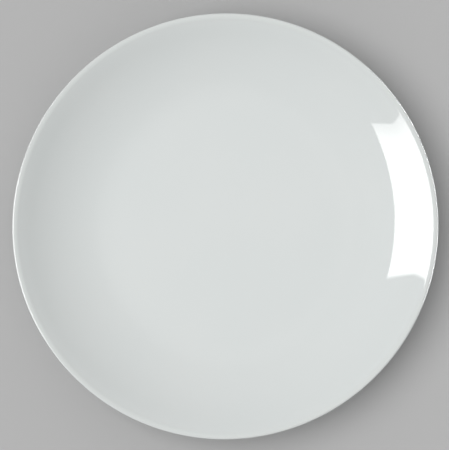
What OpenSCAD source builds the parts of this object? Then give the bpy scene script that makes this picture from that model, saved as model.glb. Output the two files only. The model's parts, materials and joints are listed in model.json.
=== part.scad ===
// Coupe dessert plate: a flat well that sweeps up into a flared wall, with no separate rim.
// Millimetres, +Z up, standing on its foot ring with the origin at the middle of the resting plane.

/* [Plate] */
// Diameter over the rim
plate_d = 200; // [195:1:205]
// Diameter of the flat part of the well
well_d = 108; // [106:1:110]
// Diameter at which the wall is steepest
steep_d = 184; // [181:1:185]
// Slope of the wall where it is steepest, in degrees
wall_angle = 35.5; // [34:0.5:37]
// Slope of the lip where the rim starts to roll over, in degrees
lip_angle = 33; // [31:0.5:33.5]

/* [Wall] */
// Thickness of the floor, glaze included
floor_t = 4.2; // [4:0.1:4.6]
// Radius of the soft roll from the lip up to the crown of the rim
inner_roll_r = 3.6; // [3:0.1:4]
// Radius of the tighter roll from the crown round to the back
outer_roll_r = 0.9; // [0.8:0.05:1.1]

/* [Foot ring] */
// Outside diameter of the foot ring, glaze included
foot_d = 116; // [112:1:122]
// Width of the foot ring, glaze included
foot_w = 4.2; // [3.6:0.1:5.4]
// Height of the back above the table
foot_h = 2.8; // [2.7:0.1:3]
// Radius of the fillets where the foot ring runs into the back
root_r = 1.3; // [1:0.1:1.4]
// Radius of the two edges of the bare resting band
edge_r = 0.6; // [0.3:0.1:0.7]

/* [Glaze] */
// Thickness of the glaze
glaze_t = 0.3; // [0.2:0.05:0.4]
// Height above the table at which the glaze stops on both sides of the foot ring
glaze_line = 1; // [0.8:0.05:1.1]

/* [Hidden] */

// Largest gap between a chord and the arc that it stands for
chord_gap = 0.008;

// The point of a circle that lies in a direction from its centre
function at(centre, radius, a) = centre + radius * [cos(a), sin(a)];

// Points along an arc after its first one, as few as keep within chord_gap of it
function arc(centre, radius, from, to) =
    let (steps = ceil(abs(to - from) / (2 * acos(1 - chord_gap / radius))))
    [for (i = [1:steps]) at(centre, radius, from + (to - from) * i / steps)];

function reversed(points) = [for (i = [len(points) - 1:-1:0]) points[i]];

rim_r = plate_d / 2;
well_r = well_d / 2;
steep_r = steep_d / 2;
crown_r = rim_r - outer_roll_r;
foot_out_r = foot_d / 2;
foot_in_r = foot_out_r - foot_w;
face_z = foot_h + floor_t;

// The face leaves the flat well on a hollow arc, up to where the wall is steepest.
face_r = (steep_r - well_r) / sin(wall_angle);
face_c = [well_r, face_z + face_r];
// The lip above it bends gently outwards, down to the slope at which the rim starts to roll.
lip_end_r = crown_r - inner_roll_r * sin(lip_angle);
lip_r = (lip_end_r - steep_r) / (sin(wall_angle) - sin(lip_angle));
lip_c = at(face_c, face_r + lip_r, wall_angle - 90);
// The rim is two rolls that meet at its crown: a soft one inside and a tighter one outside.
inner_roll_c = at(lip_c, lip_r - inner_roll_r, lip_angle + 90);
plate_h = inner_roll_c.y + inner_roll_r;
outer_roll_c = [crown_r, plate_h - outer_roll_r];

// The back sweeps up from the same radius as the face, into a straight band that ends at the rim.
back_band_end = at(outer_roll_c, outer_roll_r, wall_angle - 90);
back_run = back_band_end - [well_r, foot_h];
back_r = (back_run.x * sin(wall_angle) - back_run.y * cos(wall_angle)) / (1 - cos(wall_angle));
back_c = [well_r, foot_h + back_r];

// Centres of the fillets on the two sides of the foot ring
outer_root_x = foot_out_r + root_r;
outer_root_c = [outer_root_x, back_c.y - sqrt((back_r + root_r) ^ 2 - (outer_root_x - well_r) ^ 2)];
inner_root_c = [foot_in_r - root_r, foot_h - root_r];
// Direction from the centre of the back's arc to the point where it runs into the outer fillet
outer_root_a = atan2(outer_root_c.y - back_c.y, outer_root_c.x - back_c.x);

// Half section of the glazed skin, sunk by a depth below the finished surface: from the middle of
// the well over the rim and along the back to the glaze line on the outside of the foot ring
function plate_skin(depth) = concat(
    [[0, face_z - depth], [well_r, face_z - depth]],
    arc(face_c, face_r + depth, -90, wall_angle - 90),
    arc(lip_c, lip_r - depth, wall_angle + 90, lip_angle + 90),
    // The crown and the outermost point are points of the outline, so the overall sizes are exact
    arc(inner_roll_c, inner_roll_r - depth, lip_angle + 90, 90),
    arc(outer_roll_c, outer_roll_r - depth, 90, 0),
    arc(outer_roll_c, outer_roll_r - depth, 0, wall_angle - 90),
    [at(back_c, back_r - depth, wall_angle - 90)],
    arc(back_c, back_r - depth, wall_angle - 90, outer_root_a),
    arc(outer_root_c, root_r + depth, outer_root_a + 180, 180),
    [[foot_out_r - depth, glaze_line]]);

// Half section of the skin inside the foot ring, from its glaze line to the middle of the back
function foot_well_skin(depth) = concat(
    [[foot_in_r + depth, glaze_line], [foot_in_r + depth, inner_root_c.y]],
    arc(inner_root_c, root_r + depth, 0, 90),
    [[0, foot_h + depth]]);

// Bare foot below the glaze line, with a flat resting band between two rounded edges
function bare_foot() = concat(
    [[foot_out_r - glaze_t, edge_r]],
    arc([foot_out_r - glaze_t - edge_r, edge_r], edge_r, 0, -90),
    [[foot_in_r + glaze_t + edge_r, 0]],
    arc([foot_in_r + glaze_t + edge_r, edge_r], edge_r, -90, -180));

// One turn of a half section about the plate's axis
module turned(outline) {
    rotate_extrude() polygon(outline);
}

// A film of glaze between the finished surface and the body
module film(outer, inner) {
    turned(concat(outer, reversed(inner)));
}

// The fired body, bare only under the foot ring
module porcelain_body() {
    color([0.90, 0.88, 0.84])
        turned(concat(plate_skin(glaze_t), bare_foot(), foot_well_skin(glaze_t)));
}

// The glaze over the face, round the rim and down the back
module glaze_coat() {
    color([0.85, 0.865, 0.86])
        film(plate_skin(0), plate_skin(glaze_t));
}

// The glaze on the recessed disc inside the foot ring
module foot_well_glaze() {
    color([0.84, 0.86, 0.855])
        film(foot_well_skin(0), foot_well_skin(glaze_t));
}

porcelain_body();
glaze_coat();
foot_well_glaze();
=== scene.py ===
# Coupe dessert plate in white glazed porcelain, seen from straight above
import json
import math

import bpy
from mathutils import Matrix, Vector


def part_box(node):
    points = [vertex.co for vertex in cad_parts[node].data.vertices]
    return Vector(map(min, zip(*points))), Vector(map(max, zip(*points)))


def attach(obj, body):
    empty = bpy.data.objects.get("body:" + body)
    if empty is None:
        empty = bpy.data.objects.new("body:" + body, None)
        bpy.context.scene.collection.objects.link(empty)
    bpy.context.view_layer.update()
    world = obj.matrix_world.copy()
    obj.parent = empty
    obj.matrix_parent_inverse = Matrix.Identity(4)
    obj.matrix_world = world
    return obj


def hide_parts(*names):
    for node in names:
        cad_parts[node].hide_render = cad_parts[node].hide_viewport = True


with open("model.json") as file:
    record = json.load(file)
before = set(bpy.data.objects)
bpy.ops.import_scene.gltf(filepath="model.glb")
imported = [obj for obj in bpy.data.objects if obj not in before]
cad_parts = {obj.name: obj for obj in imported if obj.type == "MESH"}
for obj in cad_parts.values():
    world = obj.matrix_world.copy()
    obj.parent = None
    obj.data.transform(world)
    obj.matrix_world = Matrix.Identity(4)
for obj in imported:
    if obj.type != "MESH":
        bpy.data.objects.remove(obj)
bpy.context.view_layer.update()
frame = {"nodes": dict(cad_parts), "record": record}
coatLow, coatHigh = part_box("glaze_coat")
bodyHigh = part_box("porcelain_body")[1]
mountAt = {mount["name"]: Vector(mount["pos_m"]) for mount in frame["record"]["mounts"]}
print("frame loaded with", len(frame["nodes"]), "nodes")

mm = 0.001
quarter = math.pi / 2    # of a turn


# Shader sums

class Flow:
    # a node's output that sums can be written with
    def __init__(self, tree, socket=None):
        self.tree = tree
        self.socket = socket

    def node(self, kind, settings=None, sockets=None, output=0):
        made = self.tree.nodes.new("ShaderNode" + kind)
        for name, value in (settings or {}).items():
            setattr(made, name, value)
        for name, value in (sockets or {}).items():
            if isinstance(value, Flow):
                self.tree.links.new(value.socket, made.inputs[name])
            else:
                made.inputs[name].default_value = value
        return Flow(self.tree, made.outputs[output] if made.outputs else None)

    def operate(self, operation, *values):
        return self.node("Math", {"operation": operation}, dict(enumerate(values)))

    def __add__(self, other):
        return self.operate("ADD", self, other)

    def __radd__(self, other):
        return self.operate("ADD", other, self)

    def __sub__(self, other):
        return self.operate("SUBTRACT", self, other)

    def __rsub__(self, other):
        return self.operate("SUBTRACT", other, self)

    def __mul__(self, other):
        return self.operate("MULTIPLY", self, other)

    def __rmul__(self, other):
        return self.operate("MULTIPLY", other, self)

    def __abs__(self):
        return self.operate("ABSOLUTE", self)

    def sine(self):
        return self.operate("SINE", self)

    def step(self, low, high):
        # 0 below low, 1 above high, eased between
        ease = {"interpolation_type": "SMOOTHSTEP"}
        return self.node("MapRange", ease, {"Value": self, "From Min": low, "From Max": high})

    def blend(self, low, high):
        # this value mixes two colours
        return self.node("Mix", {"data_type": "RGBA"}, {0: self, 6: low, 7: high}, 2)

    def axis(self, letter):
        # one part of a vector
        return self.node("SeparateXYZ", None, {"Vector": self}, letter)


def newMaterial(name):
    material = bpy.data.materials.new(name)
    material.use_nodes = True
    material.node_tree.nodes.clear()
    flow = Flow(material.node_tree)
    at = flow.node("TexCoord", output="Object")
    return material, flow, at


def cloud(flow, at, size, detail=2):
    # soft noise whose patches are about size across
    return flow.node("TexNoise", None, {"Vector": at, "Scale": 1 / size, "Detail": detail})


def swing(noise, amount):
    # noise lies about 0.5, this lies about 0
    return (noise - 0.5) * amount


def bumpOf(flow, relief, height):
    return flow.node("Bump", None, {"Height": relief, "Distance": height, "Strength": 1})


def fromAxis(flow, at):
    # distance from the plate's axis, and height
    flat = flow.node("VectorMath", {"operation": "MULTIPLY"}, {0: at, 1: (1, 1, 0)})
    radius = flow.node("VectorMath", {"operation": "LENGTH"}, {0: flat}, "Value")
    return radius, at.axis("Z")


def finishMaterial(flow, sockets):
    shader = flow.node("BsdfPrincipled", None, sockets)
    flow.node("OutputMaterial", None, {"Surface": shader})


# Outline of the plate, shared by its three layers

plateForm = {
    "wellRadius": 54 * mm,              # flat part of the well
    "steepRadius": 92 * mm,             # where the wall is steepest
    "wallAngle": math.radians(35.5),    # its slope there
    "lipAngle": math.radians(33),       # slope at which the rim starts to roll over
    "innerRoll": 3.6 * mm,              # soft roll up to the crown of the rim
    "outerRoll": 0.9 * mm,              # tighter roll from the crown round to the back
    "footWidth": 4.2 * mm,
    "footHeight": 2.8 * mm,             # the back above the table
    "footRoot": 1.3 * mm,               # fillets where the foot runs into the back
    "footEdge": 0.6 * mm,               # rounding of the bare resting band
    "kilnOval": 0.0027,                 # share by which the firing pulled it out of round
    "ovalTurn": math.radians(42.6),     # where its long axis lies
    "segments": 256,                    # in one turn
    "shownFine": 2,                     # how many times finer a surface is that shows
    "weld": 0.001 * mm,                 # points closer than this become one
    "smoothAngle": math.radians(35),    # edges sharper than this stay crisp
}
# edges that stand for each stretch of the outline
outlineEdges = {
    "well": 6,
    "sweep": 16,
    "lip": 3,
    "innerRoll": 5,
    "outerRoll": 6,
    "underRoll": 4,
    "backBand": 3,
    "back": 14,
    "root": 4,
    "footDisc": 6,
    "wipedEdge": 4,
    "footEdge": 5,
    "restBand": 3,
}

rimRadius = coatHigh.x
faceHeight = mountAt["well_floor"].z
glazeLine = coatLow.z
film = coatHigh.x - bodyHigh.x    # thickness of the glaze
wellRadius = plateForm["wellRadius"]
steepRadius = plateForm["steepRadius"]
wallAngle = plateForm["wallAngle"]
lipAngle = plateForm["lipAngle"]
innerRoll = plateForm["innerRoll"]
outerRoll = plateForm["outerRoll"]
root = plateForm["footRoot"]
footHeight = plateForm["footHeight"]
footOut = mountAt["foot_rest"].x + plateForm["footWidth"] / 2
footIn = mountAt["foot_rest"].x - plateForm["footWidth"] / 2


def onCircle(centre, radius, angle):
    return centre + radius * Vector((math.cos(angle), math.sin(angle)))


def roundTo(centre, radius, start, end, edges):
    return [onCircle(centre, radius, start + (end - start) * (i + 1) / edges) for i in range(edges)]


def straightTo(start, end, edges):
    return [start.lerp(end, (i + 1) / edges) for i in range(edges)]


# centres and radii of the arcs, as (distance from the axis, height)
crownRadius = rimRadius - outerRoll
faceSweep = (steepRadius - wellRadius) / math.sin(wallAngle)
faceAt = Vector((wellRadius, faceHeight + faceSweep))
lipWidth = crownRadius - innerRoll * math.sin(lipAngle) - steepRadius
lipSweep = lipWidth / (math.sin(wallAngle) - math.sin(lipAngle))
lipAt = onCircle(faceAt, faceSweep + lipSweep, wallAngle - quarter)
innerRollAt = onCircle(lipAt, lipSweep - innerRoll, lipAngle + quarter)
outerRollAt = Vector((crownRadius, innerRollAt.y + innerRoll - outerRoll))
# the back sweeps up into a straight band that ends at the rim
backRun = onCircle(outerRollAt, outerRoll, wallAngle - quarter) - Vector((wellRadius, footHeight))
bandOffset = backRun.x * math.sin(wallAngle) - backRun.y * math.cos(wallAngle)
backSweep = bandOffset / (1 - math.cos(wallAngle))    # the arc that meets the band's line
backAt = Vector((wellRadius, footHeight + backSweep))
rootOut = footOut + root
rootDrop = math.sqrt((backSweep + root) ** 2 - (rootOut - wellRadius) ** 2)
outerRootAt = Vector((rootOut, backAt.y - rootDrop))
innerRootAt = Vector((footIn - root, footHeight - root))
rootTurn = math.atan2(outerRootAt.y - backAt.y, outerRootAt.x - backAt.x)


def finer(fine):
    # the same stretches with more edges
    return {stretch: count * fine for stretch, count in outlineEdges.items()}


def plateSkin(depth, fine=1):
    # from the middle of the well, over the rim, to the foot; depth is below the glaze's surface
    edges = finer(fine)
    points = [Vector((0, faceHeight - depth))]
    points += straightTo(points[0], Vector((wellRadius, faceHeight - depth)), edges["well"])
    points += roundTo(faceAt, faceSweep + depth, -quarter, wallAngle - quarter, edges["sweep"])
    points += roundTo(lipAt, lipSweep - depth, wallAngle + quarter, lipAngle + quarter, edges["lip"])
    points += roundTo(innerRollAt, innerRoll - depth, lipAngle + quarter, quarter, edges["innerRoll"])
    points += roundTo(outerRollAt, outerRoll - depth, quarter, 0, edges["outerRoll"])
    points += roundTo(outerRollAt, outerRoll - depth, 0, wallAngle - quarter, edges["underRoll"])
    bandEnd = onCircle(backAt, backSweep - depth, wallAngle - quarter)
    points += straightTo(points[-1], bandEnd, edges["backBand"])
    points += roundTo(backAt, backSweep - depth, wallAngle - quarter, rootTurn, edges["back"])
    points += roundTo(outerRootAt, root + depth, rootTurn + math.pi, math.pi, edges["root"])
    return points


def footWellSkin(depth, fine=1):
    # from the inside of the foot ring to the middle of the back
    edges = finer(fine)
    points = [Vector((footIn + depth, innerRootAt.y))]
    points += roundTo(innerRootAt, root + depth, 0, quarter, edges["root"])
    points += straightTo(points[-1], Vector((0, footHeight + depth)), edges["footDisc"])
    return points


def newPlane(name, size):
    bpy.ops.object.select_all(action="DESELECT")
    bpy.ops.mesh.primitive_plane_add(size=size)
    plane = bpy.context.object
    plane.name = name
    return plane


def turnOutline(name, points):
    # one point is drawn out along the outline, and the outline is spun about the plate's axis
    piece = newPlane(name, rimRadius)
    bpy.ops.object.mode_set(mode="EDIT")
    bpy.ops.mesh.merge(type="CENTER")
    bpy.ops.transform.translate(value=(points[0].x, 0, points[0].y))
    for here, there in zip(points, points[1:]):
        step = (there.x - here.x, 0, there.y - here.y)
        bpy.ops.mesh.extrude_vertices_move(TRANSFORM_OT_translate={"value": step})
    bpy.ops.mesh.select_all(action="SELECT")
    bpy.ops.mesh.spin(steps=plateForm["segments"], angle=math.tau, center=(0, 0, 0), axis=(0, 0, 1))
    bpy.ops.mesh.select_all(action="SELECT")
    bpy.ops.mesh.remove_doubles(threshold=plateForm["weld"])
    bpy.ops.mesh.normals_make_consistent(inside=False)
    bpy.ops.object.mode_set(mode="OBJECT")
    bpy.ops.object.shade_smooth_by_angle(angle=plateForm["smoothAngle"])
    return piece


def pullOval(piece):
    # the kiln leaves every plate a little out of round: turned, stretched and turned back
    oval = plateForm["kilnOval"]
    piece.rotation_euler.z = -plateForm["ovalTurn"]
    bpy.ops.object.transform_apply()
    piece.scale = (1 + oval, 1 - oval, 1)
    bpy.ops.object.transform_apply()
    piece.rotation_euler.z = plateForm["ovalTurn"]
    bpy.ops.object.transform_apply()


def ripple(piece, name, values):
    # glaze that ran in the kiln never lies quite even
    texture = bpy.data.textures.new(name, "CLOUDS")
    texture.noise_scale = values["rippleSize"]
    texture.noise_depth = 1
    swell = piece.modifiers.new(name, "DISPLACE")
    swell.texture = texture
    swell.texture_coords = "LOCAL"
    swell.strength = values["rippleHeight"]
    bpy.ops.object.modifier_apply(modifier=name)


def place(piece, node, material):
    piece.data.materials.append(material)
    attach(piece, "root")
    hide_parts(node)
    print(piece.name, "stands for", node, "with", len(piece.data.polygons), "faces")


# Glaze over the face, round the rim and down the back

glazeCoat = {
    "white": (0.702, 0.731, 0.723, 1),     # cool white of the glaze
    "pooled": (0.640, 0.690, 0.690, 1),    # thicker, where it ran together
    "thin": (0.672, 0.700, 0.688, 1),      # on the crown of the rim, where the body shows through
    "footPool": 0.9,                       # how much has run together beside the foot
    "poolWidth": 3.9 * mm,                 # how far that reaches out from the fillet
    "poolHeight": 1.95 * mm,               # and up from the back
    "drift": 0.15,                         # how much of it lies in patches over the plate
    "driftSize": 60 * mm,
    "driftEdge": (0.35, 0.65),             # noise at which a patch starts, and at which it is full
    "roughness": 0.05,
    "speckle": 0.04,                       # how much the roughness varies
    "speckleSize": 2.5 * mm,
    "ior": 1.5,
    "coatIor": 1.55,
    "coatRoughness": 0.03,
    "rippleSize": 34 * mm,                 # slow swell of the surface
    "rippleHeight": 0.03 * mm,
    "peelSize": 1.6 * mm,                  # fine orange peel in the gloss
    "peelHeight": 0.002 * mm,
}


def glazeMaterial(name, values):
    material, flow, at = newMaterial(name)
    radius, height = fromAxis(flow, at)
    wander = cloud(flow, at, values["driftSize"], detail=3)
    speckle = cloud(flow, at, values["speckleSize"])
    peel = cloud(flow, at, values["peelSize"])
    # glaze is thick in the fillet beside the foot and thin on the crown of the rim
    nearFoot = 1 - radius.step(rootOut, rootOut + values["poolWidth"])
    lowDown = 1 - height.step(footHeight, footHeight + values["poolHeight"])
    overRim = radius.step(crownRadius - innerRoll, crownRadius)
    pastRim = radius.step(crownRadius, rimRadius)
    patches = wander.step(*values["driftEdge"]) * values["drift"]
    thick = nearFoot * lowDown * values["footPool"] + patches
    white = thick.blend(values["white"], values["pooled"])
    finishMaterial(flow, {
        "Base Color": (overRim * (1 - pastRim)).blend(white, values["thin"]),
        "Roughness": values["roughness"] + swing(speckle, values["speckle"]),
        "IOR": values["ior"],
        "Coat Weight": 1,
        "Coat Roughness": values["coatRoughness"],
        "Coat IOR": values["coatIor"],
        "Normal": bumpOf(flow, peel, values["peelHeight"]),
    })
    return material


def wipedEdge(wall, side):
    # rounded lower edge of the glaze where it was wiped off the foot; side is 1 outside, -1 inside
    centre = Vector((wall - side * film, glazeLine + film))
    start = 0 if side > 0 else math.pi
    turned = roundTo(centre, film, start, start - side * quarter, outlineEdges["wipedEdge"])
    return [onCircle(centre, film, start)] + turned


coatOutline = plateSkin(0, plateForm["shownFine"]) + wipedEdge(footOut, 1) + plateSkin(film)[::-1]
coat = turnOutline("whiteGlaze", coatOutline)
pullOval(coat)
ripple(coat, "glazeRipple", glazeCoat)
place(coat, "glaze_coat", glazeMaterial("whiteGlaze", glazeCoat))


# Glaze on the disc inside the foot ring

footWellGlaze = {**glazeCoat, "white": (0.679, 0.717, 0.707, 1)}    # lies a little thicker here

discOutline = footWellSkin(0, plateForm["shownFine"])[::-1] + wipedEdge(footIn, -1) + footWellSkin(film)
disc = turnOutline("footWellGlaze", discOutline)
pullOval(disc)
ripple(disc, "discRipple", footWellGlaze)
place(disc, "foot_well_glaze", glazeMaterial("footWellGlaze", footWellGlaze))


# Fired body, bare only under the foot

firedBody = {
    "clay": (0.78, 0.74, 0.67, 1),      # warm white of the fired clay
    "rubbed": (0.70, 0.67, 0.61, 1),    # where it was polished and stands on the table
    "rubbedHeight": 0.4 * mm,
    "patchSize": 6 * mm,                # of the more and less rubbed places
    "patchEdge": (0.3, 0.7),            # noise at which such a place starts, and at which it is full
    "roughness": 0.62,
    "polish": 0.12,                     # how much smoother the rubbed places are
    "grainSize": 0.35 * mm,
    "grainHeight": 0.01 * mm,
    "grainRoughness": 0.1,
    "turningPitch": 0.28 * mm,          # fine rings left by the polishing wheel
    "turningDepth": 0.15,               # share of the grain's height
}


def clayMaterial(name, values):
    material, flow, at = newMaterial(name)
    radius, height = fromAxis(flow, at)
    grain = cloud(flow, at, values["grainSize"], detail=4)
    patches = cloud(flow, at, values["patchSize"], detail=3)
    rings = (radius * (math.tau / values["turningPitch"])).sine()
    relief = grain + rings * values["turningDepth"]
    rubbed = (1 - height.step(0, values["rubbedHeight"])) * patches.step(*values["patchEdge"])
    roughness = values["roughness"] - rubbed * values["polish"]
    finishMaterial(flow, {
        "Base Color": rubbed.blend(values["clay"], values["rubbed"]),
        "Roughness": roughness + swing(grain, values["grainRoughness"]),
        "Normal": bumpOf(flow, relief, values["grainHeight"]),
    })
    return material


def bareFoot():
    # below the glaze line: a flat resting band between two rounded edges
    edge = plateForm["footEdge"]
    outer = Vector((footOut - film - edge, edge))
    inner = Vector((footIn + film + edge, edge))
    points = [Vector((footOut - film, glazeLine)), onCircle(outer, edge, 0)]
    points += roundTo(outer, edge, 0, -quarter, outlineEdges["footEdge"])
    points += straightTo(points[-1], onCircle(inner, edge, -quarter), outlineEdges["restBand"])
    points += roundTo(inner, edge, -quarter, -2 * quarter, outlineEdges["footEdge"])
    points.append(Vector((footIn + film, glazeLine)))
    return points


bodyOutline = plateSkin(film) + bareFoot() + footWellSkin(film)
body = turnOutline("porcelainBody", bodyOutline)
pullOval(body)
place(body, "porcelain_body", clayMaterial("barePorcelain", firedBody))


# Camera straight above, framed as the photo is

photo = {
    "width": 449,
    "height": 450,
    "plateAt": (225.37, 226.35),    # middle of the plate, in pixels from the top left corner
    "plateRadius": 213.1,           # in pixels
    "above": 1.2,                   # camera above the rim, in metres
}
metrePerPixel = rimRadius / photo["plateRadius"]
longSide = max(photo["width"], photo["height"])
cameraData = bpy.data.cameras.new("photoCamera")
cameraData.lens = cameraData.sensor_width * photo["above"] / (longSide * metrePerPixel)
camera = bpy.data.objects.new("photoCamera", cameraData)
camera.location = (
    (photo["width"] / 2 - photo["plateAt"][0]) * metrePerPixel,
    (photo["plateAt"][1] - photo["height"] / 2) * metrePerPixel,
    outerRollAt.y + photo["above"],
)
bpy.context.scene.collection.objects.link(camera)
bpy.context.scene.camera = camera
print("camera lens", round(cameraData.lens, 1))


# Floor

paleFloor = {
    "tone": (0.469, 0.469, 0.469, 1),
    "deeper": (0.462, 0.462, 0.462, 1),    # in its faint patches
    "patchSize": 0.3,                      # in metres
    "roughness": 0.9,
    "width": 40,                           # in metres, far past every view
}


def floorMaterial(values):
    material, flow, at = newMaterial("paleFloor")
    patches = cloud(flow, at, values["patchSize"], detail=3)
    finishMaterial(flow, {
        "Base Color": patches.blend(values["tone"], values["deeper"]),
        "Roughness": values["roughness"],
        "Specular IOR Level": 0,
    })
    return material


floor = newPlane("floor", paleFloor["width"])
floor.data.materials.append(floorMaterial(paleFloor))


# Lamp for the matt surfaces, from above

overheadLight = {
    "strength": 0.529,                # as a white card shows it
    "source": (-0.487, 0.084, 1),     # where it comes from
    "spread": math.radians(50),
}
lampData = bpy.data.lights.new("overhead", "SUN")
lampData.energy = math.pi * overheadLight["strength"]
lampData.angle = overheadLight["spread"]
lamp = bpy.data.objects.new("overhead", lampData)
lamp.rotation_euler = Vector(overheadLight["source"]).to_track_quat("Z", "Y").to_euler()
lamp.visible_camera = False
lamp.visible_glossy = False    # the gloss sees the cards and the backdrop instead
bpy.context.scene.collection.objects.link(lamp)


# Lit cards that only the gloss sees

# yaw and pitch point from the plate to a card, sides and ends are its edges about that line in metres
softbox = {
    "glow": 5.0,
    "away": 0.8,
    "yaw": math.radians(166.82),
    "pitch": math.radians(20.74),
    "roll": math.radians(5.45),
    "sides": (-0.0166, 0.694),
    "ends": (-0.20, 0.472),
    "feather": 0.03,    # share of the card over which its light fades at the edges
    "uneven": 0.42,     # how much dimmer its far side is
    "dimFrom": 0.2,     # where that starts, as a share of the card past its middle
}
# low boards at the two sides, which only the turned edge of the rim reflects from above
leftBoard = {
    **softbox,
    "glow": 6.0,
    "yaw": math.radians(182),
    "pitch": math.radians(8),
    "roll": 0,
    "sides": (-0.9, 0.9),
    "ends": (-0.1, 0.12),
    "feather": 0.2,
    "uneven": 0,
}
rightBoard = {**leftBoard, "glow": 17.0, "yaw": math.radians(12), "sides": (-0.68, 0.68)}
halfCard = 0.5    # from a card's middle to its edge, in its own units


def cardMatrix(values):
    yaw = values["yaw"]
    pitch = values["pitch"]
    out = Vector((math.cos(yaw) * math.cos(pitch), math.sin(yaw) * math.cos(pitch), math.sin(pitch)))
    side = Vector((-math.sin(yaw), math.cos(yaw), 0))
    up = out.cross(side)
    turned = Matrix((side, up, out)).transposed() @ Matrix.Rotation(values["roll"], 3, "Z")
    middle = turned @ Vector((sum(values["sides"]) / 2, sum(values["ends"]) / 2, values["away"]))
    width = values["sides"][1] - values["sides"][0]
    height = values["ends"][1] - values["ends"][0]
    return Matrix.Translation(middle) @ turned.to_4x4() @ Matrix.Diagonal((width, height, 1, 1))


def cardMaterial(name, values):
    material, flow, at = newMaterial(name)
    dim = at.axis("X").step(values["dimFrom"], halfCard) * values["uneven"]
    lit = values["glow"] * (1 - dim)
    for letter in "XY":
        fromEdge = halfCard - abs(at.axis(letter))
        lit = lit * fromEdge.step(0, values["feather"])
    shader = flow.node("Emission", None, {"Strength": lit})
    flow.node("OutputMaterial", None, {"Surface": shader})
    return material


def glossCard(name, values):
    card = newPlane(name, 2 * halfCard)
    card.matrix_world = cardMatrix(values)
    card.data.materials.append(cardMaterial(name, values))
    card.visible_camera = False
    card.visible_diffuse = False
    card.visible_shadow = False


glossCard("softbox", softbox)
glossCard("leftBoard", leftBoard)
glossCard("rightBoard", rightBoard)


# World: fill light for the matt surfaces, and a backdrop that the camera and the gloss see

studioWorld = {
    "sideFill": (0.05, 0.05, 0.05, 1),         # fill from the left and right
    "endFill": (1.0, 1.0, 1.0, 1),             # and from in front and behind
    "backdropTone": (0.466, 0.466, 0.466, 1),  # as bright as the floor looks
    "ceilingTone": (0.62, 0.62, 0.62, 1),      # of the backdrop straight overhead
    "ceilingEdge": (0.90, 0.99),               # upward part of a direction where it starts and is full
    "ceilingNarrow": 1.5,                      # how much sooner it ends at the left and right
}
world = bpy.data.worlds.new("studioWorld")
world.use_nodes = True
world.node_tree.nodes.clear()
flow = Flow(world.node_tree)
rays = ("Is Camera Ray", "Is Glossy Ray", "Is Transmission Ray")
seen = sum(flow.node("LightPath", output=ray) for ray in rays)
direction = flow.node("TexCoord", output="Generated")
across, along, upward = (direction.axis(letter) for letter in "XYZ")
fromEnds = 0.5 + (along * along - across * across) * 0.5    # 1 in front and behind, 0 at the sides
fill = fromEnds.blend(studioWorld["sideFill"], studioWorld["endFill"])
overhead = (upward - across * across * studioWorld["ceilingNarrow"]).step(*studioWorld["ceilingEdge"])
backdrop = overhead.blend(studioWorld["backdropTone"], studioWorld["ceilingTone"])
tone = seen.step(0, 1).blend(fill, backdrop)
flow.node("OutputWorld", None, {"Surface": flow.node("Background", None, {"Color": tone})})
bpy.context.scene.world = world
bpy.context.scene.view_settings.view_transform = "Standard"
print("studio lit")
